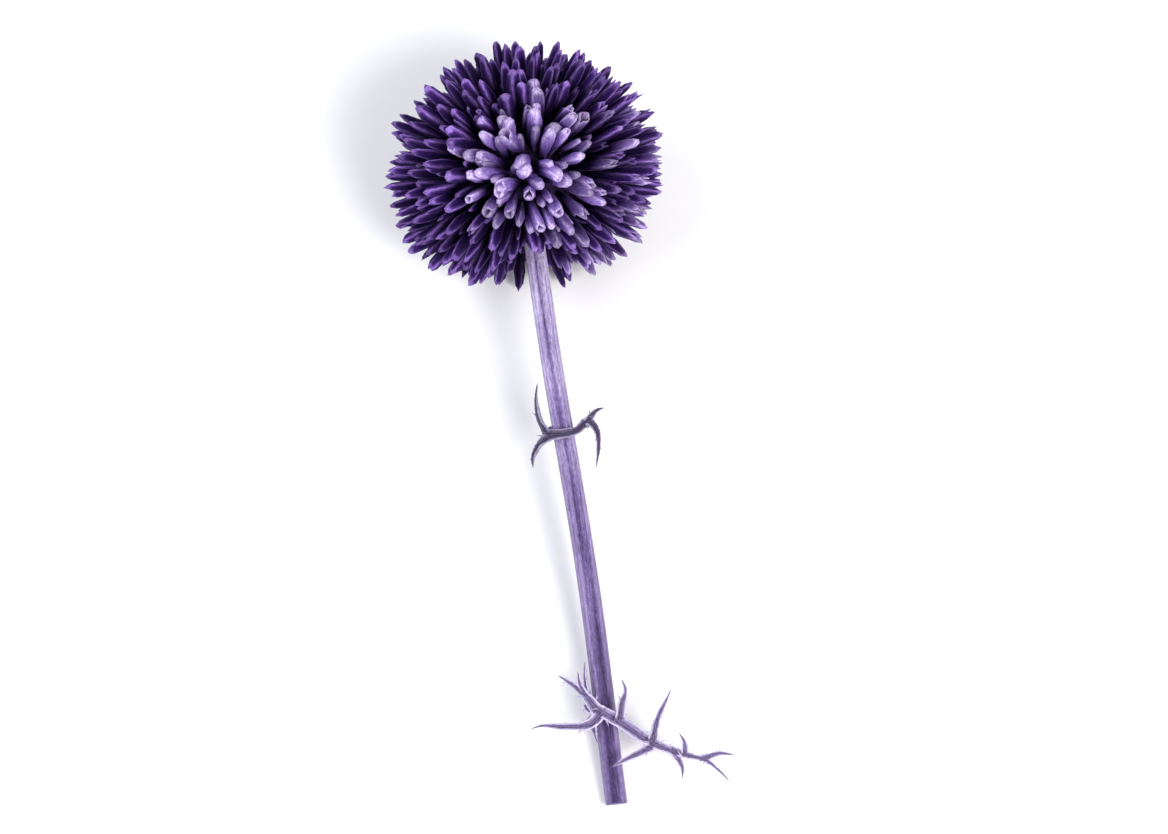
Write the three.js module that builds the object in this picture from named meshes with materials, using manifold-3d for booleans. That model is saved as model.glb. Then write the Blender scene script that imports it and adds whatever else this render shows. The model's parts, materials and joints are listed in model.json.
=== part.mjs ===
// A dried globe thistle, picked with a length of stem and laid on a table: one round spiny flower head, the
// ribbed stem that carries it, and the two dried, thorny leaves that grow from that stretch of stem.
//
// Units are millimetres, +Z is up and the table is z = 0. The plant is modelled about the centre of its head,
// with the crown of the head along +Y, the stem along -Y and the side that faced the sun along +Z. A group then
// tips it until the head and the stem's cut end both lie on the table. The origin is the middle of the
// footprint of the whole plant's box.

import * as THREE from "three";
import { ConvexHull } from "three/addons/math/ConvexHull.js";
import { mergeVertices } from "three/addons/utils/BufferGeometryUtils.js";
import Module from "manifold-3d";

const wasm = await Module();
wasm.setup();

// ---- Driving dimensions ----

const head = {
  places: 440, // places for a floret, spread evenly over the whole globe
  jitter: 0.17, // how far a floret strays from its place, as a share of the spacing
  seed: 11,
  widestRadius: 24.3, // out to the tips, at the equator
  crownRadius: 22.3, // out to the tips, at the crown
  bareWithin: 14, // degrees round the stem where no floret grows
  collarShare: 0.6, // how short the florets beside the stem are, as a share of the others
  collarStart: 12, // degrees from the stem where they begin to lengthen
  collarEnd: 33, // degrees from the stem where they reach full length
  lengthSpread: 0.055, // random share of a floret's reach
  coreRadius: 11, // the round receptacle that the florets grow from
  tableHeight: 22.2, // of the head's centre, so that the lowest tips are pressed flat
};

const floret = {
  bellyRadius: 1.15, // of a slender, pointed floret
  ripeBellyRadius: 1.5, // of a plump, blunt one, on the sunny side and on the side opposite
  radiusSpread: 0.15, // random share of the radius
  roomShare: 0.95, // of the room up to its neighbours that a floret may fill
  bellyAt: 0.5, // share of its length where it is widest
  shoulderAt: 0.8, // share of its length where the tip begins
  ripeShoulderAt: 0.89, // the same on a blunt one
  shoulder: 0.7, // radius there, as a share of the belly's
  ripeShoulder: 0.95, // the same on a blunt one
  ripeShorter: 0.03, // how much less far a blunt floret reaches, as a share
  ripeFrom: 0.72, // cosine of the angle to the middle of those sides where florets start to be plump
  ripeFull: 0.95, // and where they are fully so
  plainBelow: -0.3, // cosine of the angle to the sunny side under which a pointed one has no shoulder
};

const stem = {
  length: 112, // from the head's centre to the cut end
  radius: 1.92, // at the top of a rib
  ribs: 10,
  ribDepth: 0.14,
  seatGap: 0.3, // between the head's core and the stem's top
  bow: 1, // how far it bends sideways
  steps: 18,
  flatAtEnd: 0.3, // depth of the flat where the cut end lies on the table
};

const leafBlade = {
  thickness: 0.8,
  fold: 0.75, // height of the edges over the middle, as a share of the half width
  clearOfStem: 0.3,
};

const sunnySide = new THREE.Vector3(0, -0.06, 1).normalize();

// ---- Colours ----

const floretViolet = new THREE.MeshStandardMaterial({ color: 0x4a2f78, roughness: 0.8, metalness: 0 });
const stemLavender = new THREE.MeshStandardMaterial({ color: 0x9c86c2, roughness: 0.7, metalness: 0 });
const leafMauve = new THREE.MeshStandardMaterial({ color: 0x5f5470, roughness: 0.8, metalness: 0 });

// ---- Small tools ----

// A repeatable stream of numbers from 0 to 1.
function randomStream(seed) {
  let state = seed >>> 0;
  return () => {
    state = (state + 0x6d2b79f5) >>> 0;
    let t = Math.imul(state ^ (state >>> 15), state | 1);
    t ^= t + Math.imul(t ^ (t >>> 7), t | 61);
    return ((t ^ (t >>> 14)) >>> 0) / 4294967296;
  };
}

const { clamp, lerp, smoothstep, degToRad } = THREE.MathUtils;

function solidOf(geometry) {
  const bare = geometry.clone();
  bare.deleteAttribute("normal");
  bare.deleteAttribute("uv");
  const merged = mergeVertices(bare, 1e-4);
  return new wasm.Manifold(
    new wasm.Mesh({
      numProp: 3,
      vertProperties: new Float32Array(merged.attributes.position.array),
      triVerts: new Uint32Array(merged.index.array),
    }),
  );
}

function geometryOf(solid) {
  const mesh = solid.getMesh();
  const geometry = new THREE.BufferGeometry();
  geometry.setAttribute("position", new THREE.BufferAttribute(mesh.vertProperties, 3));
  geometry.setIndex(new THREE.BufferAttribute(mesh.triVerts, 1));
  geometry.computeVertexNormals();
  return geometry;
}

function geometryFrom(points, triangles) {
  const geometry = new THREE.BufferGeometry().setFromPoints(points);
  geometry.setIndex(triangles);
  return geometry;
}

// Adds the two triangles of each side face between two rings of equal length. The rings run anticlockwise
// seen from the far end, and hold indices of points.
function joinRings(near, far, triangles) {
  near.forEach((a, i) => {
    const next = (i + 1) % near.length;
    triangles.push(a, near[next], far[next], a, far[next], far[i]);
  });
}

// Closes a ring to one point beyond it.
function joinToPoint(ring, point, triangles) {
  ring.forEach((a, i) => triangles.push(a, ring[(i + 1) % ring.length], point));
}

// ---- The flower head ----

// The direction of each place on the globe: a spiral of even spacing about the crown, then strayed a little.
function floretDirections(random) {
  const goldenAngle = Math.PI * (3 - Math.sqrt(5));
  const stray = head.jitter * Math.sqrt((4 * Math.PI) / head.places);
  const directions = [];
  for (let i = 0; i < head.places; i++) {
    const up = 1 - (2 * (i + 0.5)) / head.places;
    const out = Math.sqrt(1 - up * up);
    const turn = i * goldenAngle;
    const place = new THREE.Vector3(out * Math.cos(turn), up, out * Math.sin(turn));
    const [east, north] = tangentsAt(place);
    place.addScaledVector(east, stray * (2 * random() - 1));
    place.addScaledVector(north, stray * (2 * random() - 1));
    directions.push(place.normalize());
  }
  return directions;
}

function tangentsAt(direction) {
  const east = new THREE.Vector3(direction.z, 0, -direction.x).normalize();
  return [east, new THREE.Vector3().crossVectors(direction, east)];
}

function angleFromStem(direction) {
  return Math.acos(clamp(-direction.y, -1, 1));
}

// How far the tips reach in a direction: a slightly flattened globe, drawn in towards the stem.
function tipReach(direction) {
  const globe = lerp(head.widestRadius, head.crownRadius, direction.y * direction.y);
  const grown = smoothstep(
    angleFromStem(direction),
    degToRad(head.collarStart),
    degToRad(head.collarEnd),
  );
  return globe * lerp(head.collarShare, 1, grown);
}

// The cells of the globe round each direction, as rings of corner directions shared by the neighbours.
function cellsRound(directions) {
  const hull = new ConvexHull().setFromPoints(directions);
  const corners = [];
  const rings = directions.map(() => []);
  const indexOf = new Map(directions.map((direction, i) => [direction, i]));
  for (const face of hull.faces) {
    let edge = face.edge;
    do {
      rings[indexOf.get(edge.head().point)].push(corners.length);
      edge = edge.next;
    } while (edge !== face.edge);
    corners.push(face.normal.clone());
  }
  rings.forEach((ring, i) => {
    const [east, north] = tangentsAt(directions[i]);
    const bearing = (corner) => Math.atan2(corners[corner].dot(north), corners[corner].dot(east));
    ring.sort((a, b) => bearing(a) - bearing(b));
  });
  return { corners, rings };
}

// Half the angle from each direction to its nearest neighbour.
function roomAngles(directions) {
  return directions.map((own) => {
    const closest = Math.max(...directions.filter((other) => other !== own).map((other) => own.dot(other)));
    return Math.acos(closest) / 2;
  });
}

// The globe's core is tiled by cells, and a floret rises from each of them: a belly, a shoulder and a point.
// The cells right beside the stem stay bare.
function headGeometry() {
  const random = randomStream(head.seed);
  const directions = floretDirections(random);
  const { corners, rings } = cellsRound(directions);
  const rooms = roomAngles(directions);
  const points = corners.map((corner) => corner.clone().multiplyScalar(head.coreRadius));
  const triangles = [];
  const addPoint = (point) => points.push(point) - 1;

  directions.forEach((direction, i) => {
    const lengthDraw = 2 * random() - 1;
    const radiusDraw = 2 * random() - 1;
    const ring = rings[i];
    if (angleFromStem(direction) < degToRad(head.bareWithin)) {
      joinToPoint(ring, addPoint(direction.clone().multiplyScalar(head.coreRadius)), triangles);
      return;
    }
    const sunny = direction.dot(sunnySide);
    const ripe = smoothstep(Math.abs(sunny), floret.ripeFrom, floret.ripeFull);
    const reach =
      tipReach(direction) * (1 + head.lengthSpread * lengthDraw) * (1 - floret.ripeShorter * ripe);
    const belly =
      lerp(floret.bellyRadius, floret.ripeBellyRadius, ripe) * (1 + floret.radiusSpread * radiusDraw);

    const [east, north] = tangentsAt(direction);
    const bearings = ring.map((corner) => Math.atan2(corners[corner].dot(north), corners[corner].dot(east)));
    const step = (2 * Math.PI) / ring.length;
    const start = bearings.reduce((sum, bearing, k) => sum + bearing - k * step, 0) / ring.length;
    const ringAt = (lengthShare, wantedRadius) => {
      const out = lerp(head.coreRadius, reach, lengthShare);
      const radius = Math.min(wantedRadius, floret.roomShare * out * Math.tan(rooms[i]));
      return ring.map((_, k) => {
        const point = direction.clone().multiplyScalar(out);
        point.addScaledVector(east, radius * Math.cos(start + k * step));
        point.addScaledVector(north, radius * Math.sin(start + k * step));
        return addPoint(point);
      });
    };
    const sides = [ring, ringAt(floret.bellyAt, belly)];
    if (sunny > floret.plainBelow || ripe > 0) {
      const shoulderAt = lerp(floret.shoulderAt, floret.ripeShoulderAt, ripe);
      sides.push(ringAt(shoulderAt, belly * lerp(floret.shoulder, floret.ripeShoulder, ripe)));
    }
    sides.slice(1).forEach((far, k) => joinRings(sides[k], far, triangles));
    joinToPoint(sides.at(-1), addPoint(direction.clone().multiplyScalar(reach)), triangles);
  });
  return geometryFrom(points, triangles);
}

// ---- The stem ----

const stemTop = head.coreRadius + stem.seatGap;

// The stem's centre line, from the head down.
const stemLine = new THREE.CatmullRomCurve3([
  new THREE.Vector3(0, -stemTop, 0),
  new THREE.Vector3(0.1 * stem.bow, -0.3 * stem.length, 0.3 * stem.bow),
  new THREE.Vector3(stem.bow, -0.66 * stem.length, 0.2 * stem.bow),
  new THREE.Vector3(0.4 * stem.bow, -stem.length, 0),
]);

// The stem's ribbed outline, with each rib's top at the given radius.
function ribbedSection(radius) {
  const section = new THREE.Shape();
  const corners = 2 * stem.ribs;
  for (let i = 0; i < corners; i++) {
    const turn = (2 * Math.PI * i) / corners;
    const out = radius - (i % 2) * stem.ribDepth;
    const draw = i ? "lineTo" : "moveTo";
    section[draw](out * Math.cos(turn), out * Math.sin(turn));
  }
  section.closePath();
  return section;
}

function stemGeometry(radius) {
  return new THREE.ExtrudeGeometry(ribbedSection(radius), { steps: stem.steps, extrudePath: stemLine });
}

// ---- The leaves ----

// Which way a leaf's grooved face looks at a place: away from the stem close to it, and to the sun further out.
function faceOfLeaf(place) {
  const reach = Math.hypot(place.x, place.z);
  return new THREE.Vector3(place.x / (1 + (reach / 4) ** 2), 0, Math.max(place.z, 1)).normalize();
}

// One arm of a leaf: a narrow grooved blade that follows its bends and tapers to a thorn.
function armGeometry({ halfWidth, bends, steps }) {
  const curve = new THREE.CatmullRomCurve3(bends.map((bend) => new THREE.Vector3(...bend)));
  const points = [];
  const triangles = [];
  const rings = [];
  for (let i = 0; i < steps; i++) {
    const along = i / steps;
    const half = halfWidth * (1 - along ** 1.7);
    const halfThick = Math.min(leafBlade.thickness / 2, 0.7 * half);
    const middle = curve.getPointAt(along);
    const forward = curve.getTangentAt(along);
    const across = new THREE.Vector3().crossVectors(faceOfLeaf(middle), forward).normalize();
    const face = new THREE.Vector3().crossVectors(forward, across);
    const place = (side, up) => middle.clone().addScaledVector(across, side).addScaledVector(face, up);
    const edgeUp = leafBlade.fold * half;
    points.push(place(half, edgeUp), place(0, halfThick), place(-half, edgeUp), place(0, -halfThick));
    rings.push([4 * i, 4 * i + 1, 4 * i + 2, 4 * i + 3]);
  }
  points.push(curve.getPointAt(1));
  rings.slice(1).forEach((ring, i) => joinRings(rings[i], ring, triangles));
  joinToPoint(rings.at(-1), points.length - 1, triangles);
  const [right, top, left, bottom] = rings[0];
  triangles.push(bottom, top, right, bottom, left, top);
  return geometryFrom(points, triangles);
}

function leafSolid(arms) {
  return wasm.Manifold.union(arms.map((arm) => solidOf(armGeometry(arm))));
}

// Where the arms of each leaf run. The first of each is the one that the others branch from.
const smallLeafArms = [
  {
    halfWidth: 1,
    steps: 12,
    bends: [
      [-2.7, -47.4, 0.5],
      [-1.8, -47.6, 2.3],
      [0.4, -47.9, 3.2],
      [2.6, -47.6, 3.1],
      [4.7, -46.5, 3.6],
      [6.1, -48.6, 4.6],
      [5.9, -52, 5.4],
      [4.8, -55.9, 5],
    ],
  },
  {
    halfWidth: 0.8,
    steps: 6,
    bends: [
      [-1.6, -47.7, 2.4],
      [-3.6, -48.8, 1.7],
      [-5.2, -50.9, 2],
      [-5.7, -53.4, 3.1],
    ],
  },
  {
    halfWidth: 0.7,
    steps: 7,
    bends: [
      [-2, -47.6, 2],
      [-3.1, -44.6, 1.2],
      [-3.4, -41.2, 1.6],
      [-2.7, -37.6, 2.6],
    ],
  },
  {
    halfWidth: 0.6,
    steps: 5,
    bends: [
      [4.3, -46.7, 3.4],
      [6.4, -45, 4.4],
      [8.3, -44.8, 6],
    ],
  },
];

const largeLeafArms = [
  {
    halfWidth: 1.25,
    steps: 14,
    bends: [
      [-1.6, -95.4, 2.2],
      [-0.2, -96.2, 3.2],
      [2.6, -98.5, 4],
      [8, -103.2, 5.1],
      [13.3, -106, 5.8],
      [16.1, -107.2, 6.4],
      [18.3, -109.4, 7.2],
      [20.3, -112.4, 9],
    ],
  },
  {
    halfWidth: 0.9,
    steps: 7,
    bends: [
      [-0.4, -96.4, 3.1],
      [-2.1, -93.2, 3],
      [-4.2, -91, 3.6],
      [-6.6, -89.2, 5.2],
    ],
  },
  {
    halfWidth: 0.6,
    steps: 5,
    bends: [
      [-2, -93.3, 3],
      [-2.8, -91.2, 3.8],
      [-2.9, -88.9, 5],
    ],
  },
  {
    halfWidth: 0.85,
    steps: 8,
    bends: [
      [0.4, -97.2, 3.2],
      [-2.2, -98.3, 2.7],
      [-6.2, -98, 2.6],
      [-10, -97.4, 3.6],
      [-13, -97.9, 5.4],
    ],
  },
  {
    halfWidth: 0.75,
    steps: 7,
    bends: [
      [2.8, -98.5, 3.9],
      [3.7, -95.6, 4.7],
      [4.6, -93.7, 5.6],
      [4.2, -91.4, 7],
    ],
  },
  {
    halfWidth: 0.7,
    steps: 8,
    bends: [
      [7.8, -103, 5],
      [9.3, -99.2, 5.7],
      [11, -96.7, 6.8],
      [12.7, -94.3, 8.6],
    ],
  },
  {
    halfWidth: 0.75,
    steps: 7,
    bends: [
      [8.2, -103.4, 5],
      [5.4, -104.4, 4.9],
      [2.6, -105.3, 5],
      [-0.3, -106.5, 5.4],
    ],
  },
  {
    halfWidth: 0.6,
    steps: 5,
    bends: [
      [13, -105.9, 5.7],
      [13.2, -103.9, 6.6],
      [12.5, -102, 7.8],
    ],
  },
  {
    halfWidth: 0.65,
    steps: 6,
    bends: [
      [15.8, -107.1, 6.3],
      [18.6, -106.6, 7],
      [21.6, -107.4, 8.6],
    ],
  },
  {
    halfWidth: 0.65,
    steps: 5,
    bends: [
      [11, -104.9, 5.5],
      [12.2, -107.6, 5.4],
      [12, -110.2, 6.4],
    ],
  },
];

// ---- The plant, laid on the table ----

const endHeight = stem.radius - stem.flatAtEnd;
const tilt = Math.asin((head.tableHeight - endHeight) / stem.length);

const plant = new THREE.Group();
plant.position.z = head.tableHeight;
plant.rotation.x = tilt;
plant.updateMatrix();

// All that would reach below the table, in the plant's own frame.
const belowTable = new THREE.BoxGeometry(400, 400, 60).translate(0, 0, -30);
belowTable.applyMatrix4(plant.matrix.clone().invert());
const tableCut = solidOf(belowTable);
const stemRoom = solidOf(stemGeometry(stem.radius + leafBlade.clearOfStem));

function addPiece(name, solid, material) {
  const piece = new THREE.Mesh(geometryOf(solid), material);
  piece.name = name;
  plant.add(piece);
}

addPiece("flower_head", solidOf(headGeometry()).subtract(tableCut), floretViolet);
addPiece("stem", solidOf(stemGeometry(stem.radius)).subtract(tableCut), stemLavender);
addPiece("small_leaf", leafSolid(smallLeafArms).subtract(stemRoom).subtract(tableCut), leafMauve);
addPiece("large_leaf", leafSolid(largeLeafArms).subtract(stemRoom).subtract(tableCut), leafMauve);

const thistle = new THREE.Group();
thistle.add(plant);
thistle.updateMatrixWorld(true);
const box = new THREE.Box3().setFromObject(thistle, true);
plant.position.x -= (box.min.x + box.max.x) / 2;
plant.position.y -= (box.min.y + box.max.y) / 2;

export default thistle;
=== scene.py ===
import json
import math

import bmesh
import bpy
from mathutils import Matrix, Vector, noise
from mathutils.kdtree import KDTree

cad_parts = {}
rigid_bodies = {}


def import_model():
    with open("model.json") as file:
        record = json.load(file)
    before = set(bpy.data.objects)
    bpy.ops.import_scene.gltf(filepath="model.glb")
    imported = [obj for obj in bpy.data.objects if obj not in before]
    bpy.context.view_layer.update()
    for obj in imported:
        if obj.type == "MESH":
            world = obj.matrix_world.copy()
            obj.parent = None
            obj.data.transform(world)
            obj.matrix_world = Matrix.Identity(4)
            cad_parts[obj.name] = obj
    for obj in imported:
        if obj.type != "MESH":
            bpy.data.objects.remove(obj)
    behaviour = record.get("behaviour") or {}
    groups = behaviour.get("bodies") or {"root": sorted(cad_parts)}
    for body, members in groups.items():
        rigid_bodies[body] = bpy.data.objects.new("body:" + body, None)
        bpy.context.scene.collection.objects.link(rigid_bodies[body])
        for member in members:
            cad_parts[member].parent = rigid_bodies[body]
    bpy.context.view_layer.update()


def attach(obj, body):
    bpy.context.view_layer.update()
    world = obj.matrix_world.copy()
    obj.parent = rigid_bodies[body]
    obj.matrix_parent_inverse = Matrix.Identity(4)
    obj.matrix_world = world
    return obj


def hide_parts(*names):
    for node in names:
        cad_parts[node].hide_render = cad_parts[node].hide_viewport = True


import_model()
scene = bpy.context.scene
mm = 0.001

# the plant's own axes: crown +Y, stem -Y, sunny side +Z, about the middle of the head, in mm
plantPose = {
    "tilt": 0.1848,  # radians the crown is raised
    "headAt": (-0.3193, 44.6279, 22.2),  # the middle of the head over the table, mm
    "sunnySide": (0.0, -0.06, 1.0),
    "paleCapSide": (0.1, -0.25, 0.97),
}
plantToTable = Matrix.Translation(Vector(plantPose["headAt"])) @ Matrix.Rotation(plantPose["tilt"], 4, "X")
sunnySide = Vector(plantPose["sunnySide"]).normalized()
paleCapSide = Vector(plantPose["paleCapSide"]).normalized()


def onTable(point):  # plant mm to metres on the table
    return (plantToTable @ Vector(point)) * mm


cameraSetup = {
    "lens": 110,
    "elevation": 69.0,  # degrees above the table, from the stem's end
    "roll": 8.2,  # degrees the stem leans
    "distance": 0.62,
    "lookAt": (0.004, 0.0005, 0.014),
}


def placeCamera():
    lens = bpy.data.cameras.new("camera")
    lens.lens = cameraSetup["lens"]
    lens.clip_start, lens.clip_end = 0.01, 20
    eye = bpy.data.objects.new("camera", lens)
    scene.collection.objects.link(eye)
    lift = math.radians(cameraSetup["elevation"])
    back = Vector((0, -math.cos(lift), math.sin(lift)))
    turn = (-back).to_track_quat("-Z", "Y").to_matrix()
    turn = turn @ Matrix.Rotation(math.radians(-cameraSetup["roll"]), 3, "Z")
    place = Vector(cameraSetup["lookAt"]) + back * cameraSetup["distance"]
    eye.matrix_world = Matrix.Translation(place) @ turn.to_4x4()
    scene.camera = eye


placeCamera()
print("camera placed")


def clamp(x, low=0.0, high=1.0):
    return max(low, min(high, x))


def lerp(a, b, t):
    return a + (b - a) * t


def smoothStep(x, low, high):
    t = clamp((x - low) / (high - low))
    return t * t * (3 - 2 * t)


def numberStream(seed):  # a repeatable stream of numbers from 0 to 1
    mask = 0xFFFFFFFF
    state = [seed & mask]

    def draw():
        state[0] = (state[0] + 0x6D2B79F5) & mask
        s = state[0]
        t = ((s ^ (s >> 15)) * (s | 1)) & mask
        t ^= (t + (((t ^ (t >> 7)) * (t | 61)) & mask)) & mask
        return ((t ^ (t >> 14)) & mask) / 4294967296

    return draw


def addMarks(mesh, marks):  # named values of the points, for the trees and finishes to read
    for mark, values in marks.items():
        if hasattr(values[0], "__len__"):
            layer = mesh.attributes.new(mark, "FLOAT_VECTOR", "POINT")
            layer.data.foreach_set("vector", [x for v in values for x in v])
        else:
            mesh.attributes.new(mark, "FLOAT", "POINT").data.foreach_set("value", values)


def meshObject(name, points, faces, marks=None):
    mesh = bpy.data.meshes.new(name)
    mesh.from_pydata([tuple(p) for p in points], [], faces)
    addMarks(mesh, marks or {})
    if faces:
        mesh.shade_smooth()
    mesh.update()
    return bpy.data.objects.new(name, mesh)


def markedPoints(*names):  # points, their marks, and what adds one
    points, marks = [], {name: [] for name in names}

    def add(point, *values):
        points.append(point)
        for name, value in zip(names, values):
            marks[name].append(value)
        return len(points) - 1

    return points, marks, add


def between(a, b, t, low, high):  # a where t is low, and b where it is high
    return a * ((high - t) / (high - low)) + b * ((t - low) / (high - low))


def curveThrough(points, count):  # even steps along a centripetal Catmull-Rom curve
    pts = [Vector(p) for p in points]
    pts = [2 * pts[0] - pts[1]] + pts + [2 * pts[-1] - pts[-2]]
    fine = []
    for i in range(1, len(pts) - 2):
        p0, p1, p2, p3 = pts[i - 1 : i + 3]
        t1 = (p1 - p0).length ** 0.5
        t2 = t1 + (p2 - p1).length ** 0.5
        t3 = t2 + (p3 - p2).length ** 0.5
        for k in range(24):
            t = lerp(t1, t2, k / 24)
            a1, a2, a3 = between(p0, p1, t, 0, t1), between(p1, p2, t, t1, t2), between(p2, p3, t, t2, t3)
            b1, b2 = between(a1, a2, t, 0, t2), between(a2, a3, t, t1, t3)
            fine.append(between(b1, b2, t, t1, t2))
    fine.append(pts[-2])
    reach = [0.0]
    for a, b in zip(fine, fine[1:]):
        reach.append(reach[-1] + (b - a).length)
    line, k = [], 0
    for i in range(count + 1):
        want = reach[-1] * i / count
        while k < len(fine) - 2 and reach[k + 1] < want:
            k += 1
        line.append(fine[k].lerp(fine[k + 1], clamp((want - reach[k]) / (reach[k + 1] - reach[k]))))
    return line


def treeOfPoints(places):  # finds the nearest of them
    tree = KDTree(len(places))
    for i, place in enumerate(places):
        tree.insert(place, i)
    tree.balance()
    return tree


def addNode(tree, kind, inputs=None, **settings):
    made = tree.nodes.new(kind)
    for key, value in settings.items():
        setattr(made, key, value)
    for key, value in (inputs or {}).items():
        if isinstance(value, bpy.types.NodeSocket):
            tree.links.new(value, made.inputs[key])
        else:
            made.inputs[key].default_value = value
    return made


def outOf(kind, inputs, output=0, **settings):  # an output of a new node beside its inputs
    tree = next(value.id_data for value in inputs.values() if isinstance(value, bpy.types.NodeSocket))
    return addNode(tree, kind, inputs, **settings).outputs[output]


def readMark(tree, name, kind="FLOAT"):  # a value of the points, inside a geometry nodes tree
    return addNode(tree, "GeometryNodeInputNamedAttribute", {"Name": name}, data_type=kind).outputs[0]


def treeOf(name, values):  # a geometry nodes tree with a named input for each value
    tree = bpy.data.node_groups.new(name, "GeometryNodeTree")
    kinds = {float: "Float", int: "Int", bpy.types.Collection: "Collection", bpy.types.Material: "Material"}
    for way in ("INPUT", "OUTPUT"):
        tree.interface.new_socket("Geometry", in_out=way, socket_type="NodeSocketGeometry")
    for label, value in values.items():
        tree.interface.new_socket(label, in_out="INPUT", socket_type="NodeSocket" + kinds[type(value)])
    return tree, tree.nodes.new("NodeGroupInput").outputs


def closed(geometry, finish):  # the end of a tree: its finish and its output
    tree = geometry.id_data
    dyed = outOf("GeometryNodeSetMaterial", {"Geometry": geometry, "Material": finish})
    tree.links.new(dyed, tree.nodes.new("NodeGroupOutput").inputs[0])
    return tree


def frozen(carrier, name):  # the plain mesh that modifiers make of their carrier, which goes
    scene.collection.objects.link(carrier)
    bpy.context.view_layer.update()
    mesh = bpy.data.meshes.new_from_object(carrier.evaluated_get(bpy.context.evaluated_depsgraph_get()))
    carrier.modifiers.clear()
    bpy.data.objects.remove(carrier)
    mesh.name = name
    return mesh


def grown(carrier, tree, values, name):  # the plain piece that a tree makes from its carrier
    grower = carrier.modifiers.new("grow", "NODES")
    grower.node_group = tree
    for item in tree.interface.items_tree:
        if item.in_out == "INPUT" and item.name in values:
            grower[item.identifier] = values[item.name]
    return bpy.data.objects.new(name, frozen(carrier, name))


def dress(piece, slot, *nodes):  # onto the plant's body, in place of its solids
    scene.collection.objects.link(piece)
    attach(piece, "root")
    if nodes:
        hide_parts(*nodes)
    print(piece.name, len(piece.data.polygons), "faces")


def pressed(piece):  # crushed flat where it lies on the table
    for point in piece.data.vertices:
        point.co.z = max(point.co.z, 0.0)
    return piece


def newFinish(name, roughness, sheen=0.0, sheenTint=(1, 1, 1, 1), sheenRoughness=0.4, gloss=0.3):
    finish = bpy.data.materials.new(name)
    finish.use_nodes = True
    shader = finish.node_tree.nodes["Principled BSDF"]
    values = {"Roughness": roughness, "Specular IOR Level": gloss, "Sheen Weight": sheen}
    values.update({"Sheen Tint": sheenTint, "Sheen Roughness": sheenRoughness})
    for label, value in values.items():
        shader.inputs[label].default_value = value
    return finish, finish.node_tree, shader


def markOf(tree, name, kind="Fac"):  # a value that the mesh carries
    return addNode(tree, "ShaderNodeAttribute", attribute_name=name).outputs[kind]


def mathOf(how, a, b, limit=False):
    return outOf("ShaderNodeMath", {0: a, 1: b}, operation=how, use_clamp=limit)


def plus(a, b, limit=False):
    return mathOf("ADD", a, b, limit)


def minus(a, b, limit=False):
    return mathOf("SUBTRACT", a, b, limit)


def times(a, b, limit=False):
    return mathOf("MULTIPLY", a, b, limit)


def ranged(value, least, more):  # the least where the value is 0, and so much more where it is 1
    return plus(times(value, more), least)


def strayed(value, speckle, amount):  # to both sides with a noise, and kept from 0 to 1
    return plus(value, times(minus(speckle, 0.5), amount), limit=True)


def noiseOf(place, scale, detail, roughness=0.5):
    settings = {"Vector": place, "Scale": scale, "Detail": detail, "Roughness": roughness}
    return outOf("ShaderNodeTexNoise", settings, "Fac")


def mapped(value, low, high, lowTo=0.0, highTo=1.0):
    limits = {"Value": value, "From Min": low, "From Max": high, "To Min": lowTo, "To Max": highTo}
    return outOf("ShaderNodeMapRange", limits)


def rampOf(share, stops):
    ramp = addNode(share.id_data, "ShaderNodeValToRGB", {"Fac": share})
    marks = ramp.color_ramp.elements
    while len(marks) < len(stops):
        marks.new(0.5)
    for stop, (place, color) in zip(marks, stops):
        stop.position = place
        stop.color = (*color, 1)
    return ramp.outputs["Color"]


def blended(share, a, b, how="MIX"):
    a, b = ((*color, 1) if isinstance(color, tuple) else color for color in (a, b))
    settings = {"data_type": "RGBA", "blend_type": how, "clamp_factor": True}
    return outOf("ShaderNodeMix", {0: share, 6: a, 7: b}, 2, **settings)


def lifted(color, amount):  # brighter or darker, by a number near 1
    return outOf("ShaderNodeHueSaturation", {"Color": color, "Value": amount})


def finished(shader, color, relief, strength, height):  # colour and bump onto the shader
    tree = shader.id_data
    tree.links.new(color, shader.inputs["Base Color"])
    bump = outOf("ShaderNodeBump", {"Height": relief, "Strength": strength, "Distance": height})
    tree.links.new(bump, shader.inputs["Normal"])


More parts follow.
